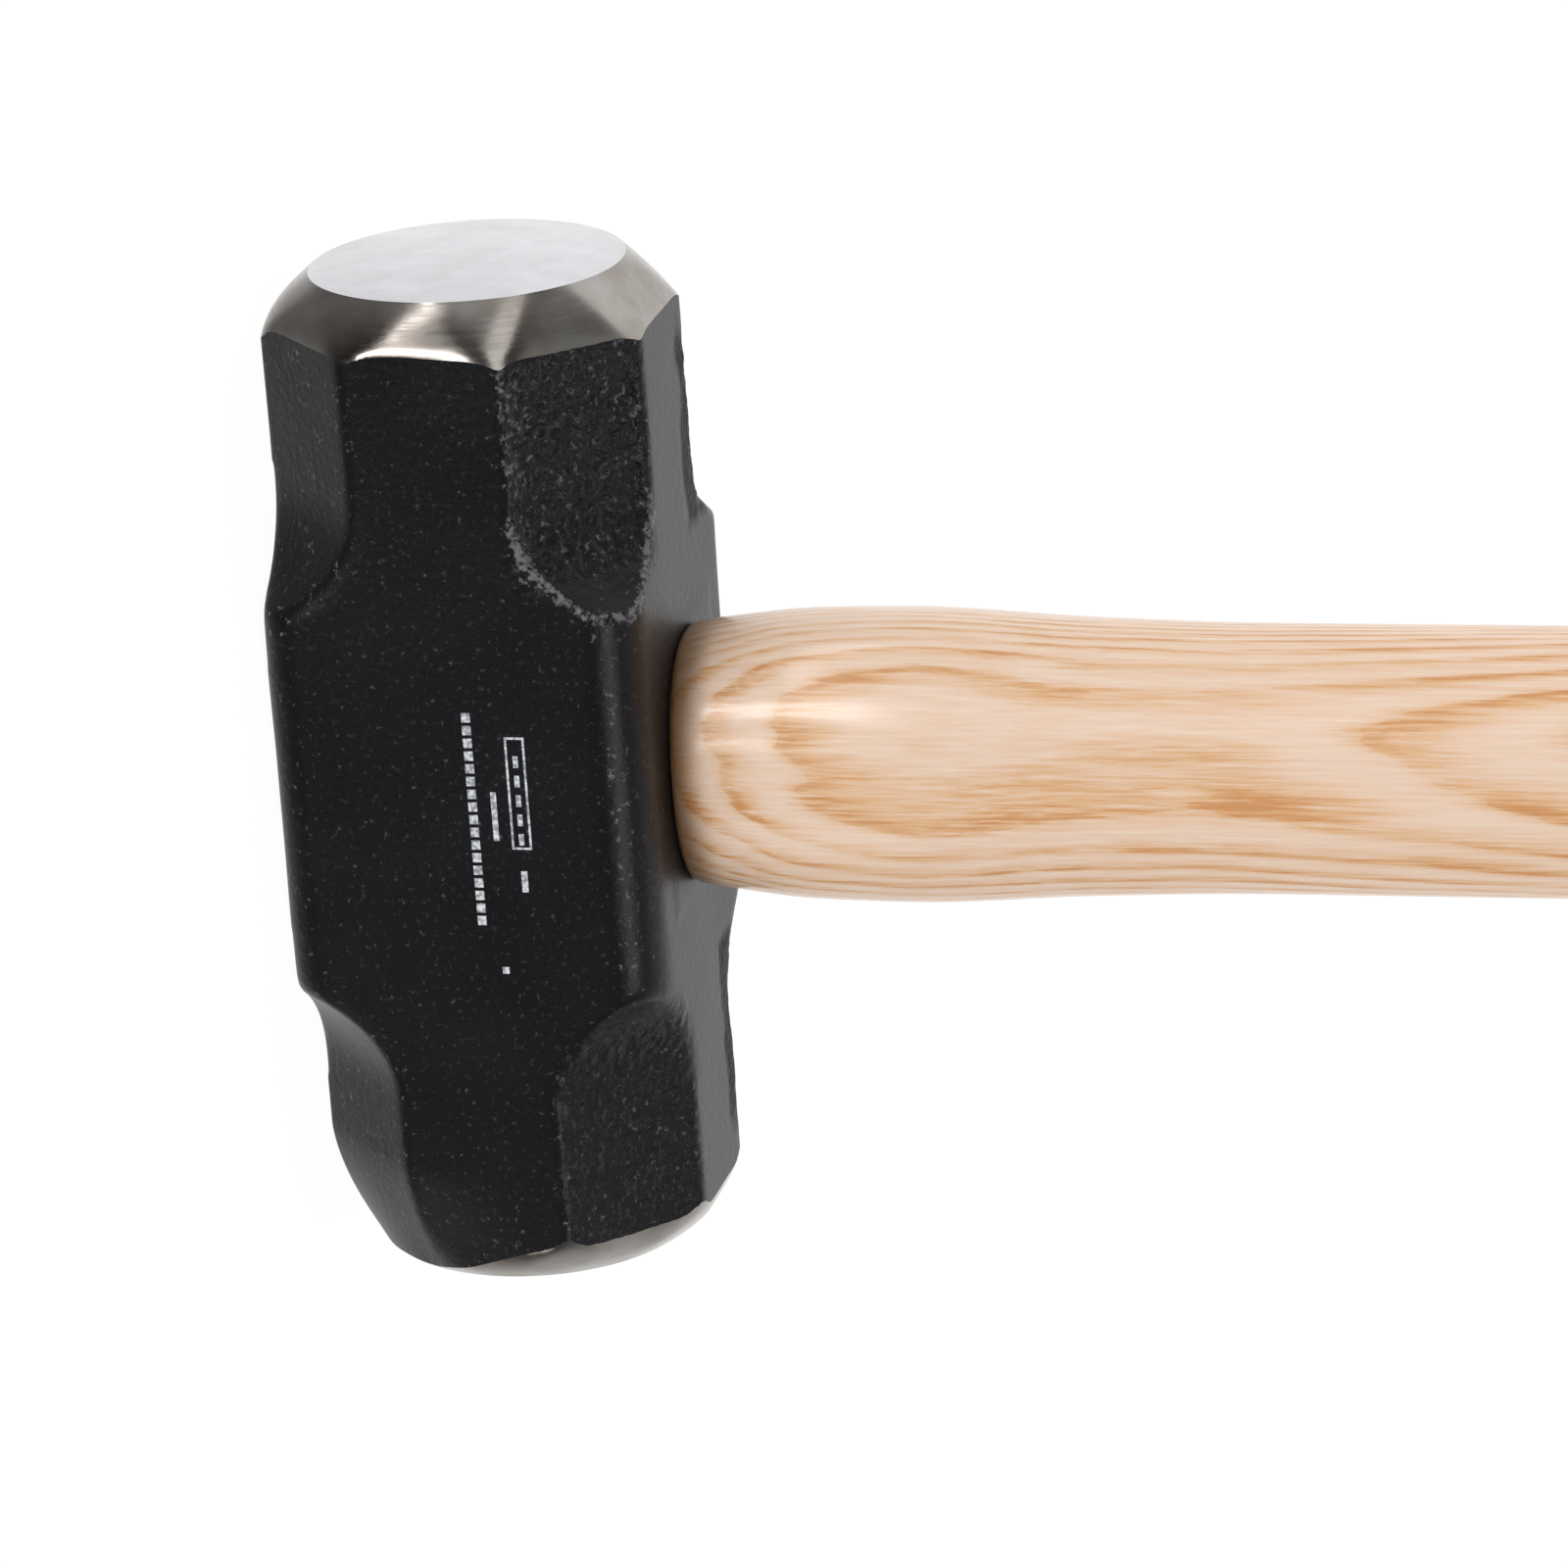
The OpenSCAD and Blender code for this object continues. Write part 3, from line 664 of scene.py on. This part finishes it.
# The floor near the head's left end is in shade, a black flag hangs above that end, and the right is dimmer
below = add(t, "VectorMath", {"operation": "DOT_PRODUCT", 1: (-0.45, 0.05, -0.89)}, {0: direction})
shade = add(t, "MapRange", {"From Min": 0.35, "From Max": 0.95, "To Min": 1.0, "To Max": 0.2,
                            "interpolation_type": "SMOOTHSTEP"}, {"Value": below.outputs["Value"]})
above_left = add(t, "VectorMath", {"operation": "DOT_PRODUCT", 1: (-0.80, -0.10, 0.59)}, {0: direction})
flag = add(t, "MapRange", {"From Min": 0.9, "From Max": 0.97, "To Min": 1.0, "To Max": 0.35,
                           "interpolation_type": "SMOOTHSTEP"}, {"Value": above_left.outputs["Value"]})
right = add(t, "MapRange", {"From Min": 0.6, "From Max": 0.95, "To Min": 1.0, "To Max": 0.6,
                            "interpolation_type": "SMOOTHSTEP"}, {"Value": axes.outputs["X"]})
room = wall.outputs["Result"]
for dimmer in (shade, flag, right):
    room = add(t, "Math", {"operation": "MULTIPLY"}, {0: room, 1: dimmer.outputs["Result"]}).outputs[0]
seen = add(t, "LightPath")
strength = add(t, "Mix", {"data_type": "FLOAT", 3: 1.0}, {0: seen.outputs["Is Camera Ray"], 2: room})
t.links.new(strength.outputs[0], t.nodes["Background"].inputs["Strength"])
t.nodes["Background"].inputs["Color"].default_value = (1, 1, 1, 1)


def softbox(name, direction, distance, width, height, power):
    """An area light that faces the head from a direction, and that the camera doesn't see."""
    lamp = bpy.data.lights.new(name, "AREA")
    lamp.shape = "RECTANGLE"
    lamp.size = width
    lamp.size_y = height
    lamp.energy = power
    stand = bpy.data.objects.new(name, lamp)
    bpy.context.scene.collection.objects.link(stand)
    towards = Vector(direction).normalized()
    turn = towards.to_track_quat("Z", "Y").to_matrix().to_4x4()
    stand.matrix_world = Matrix.Translation(head_middle + towards * distance) @ turn
    stand.visible_camera = False


softbox("key", (-0.85, -0.40, 0.38), 1.6, 1.4, 0.35, 2.0)
softbox("front_fill", (0.30, -0.70, 0.65), 1.6, 0.6, 0.6, 4.8)
softbox("low_fill", (-0.05, -0.905, -0.42), 1.6, 0.22, 0.40, 1.5)
softbox("rim_stripe", (-0.80, -0.53, -0.267), 1.6, 2.6, 0.06, 4)
softbox("side_window", (-0.43, -0.83, -0.36), 1.6, 0.3, 0.5, 4.4)
softbox("end_fill", (0.75, -0.60, -0.30), 0.5, 0.25, 0.25, 0.15)

camera_data = bpy.data.cameras.new("long_lens")
camera = bpy.data.objects.new("long_lens", camera_data)
bpy.context.scene.collection.objects.link(camera)
bpy.context.scene.camera = camera
camera_data.sensor_width = 36
camera_data.lens = 167.8
camera_aim = Vector((5.3, 0, 45.4)) * MM + Vector((0, 0, head_middle.z))
camera_distance = 1.162
camera_azimuth = math.radians(-19.367)
camera_elevation = math.radians(13.567)
camera_roll = math.radians(90.791)
camera_turn = (
    Matrix.Rotation(camera_azimuth, 4, "Z")
    @ Matrix.Rotation(math.pi / 2 - camera_elevation, 4, "X")
    @ Matrix.Rotation(camera_roll, 4, "Z")
)
step_back = Matrix.Translation((0, 0, camera_distance))
camera.matrix_world = Matrix.Translation(camera_aim) @ camera_turn @ step_back

bpy.context.scene.view_settings.view_transform = "Standard"
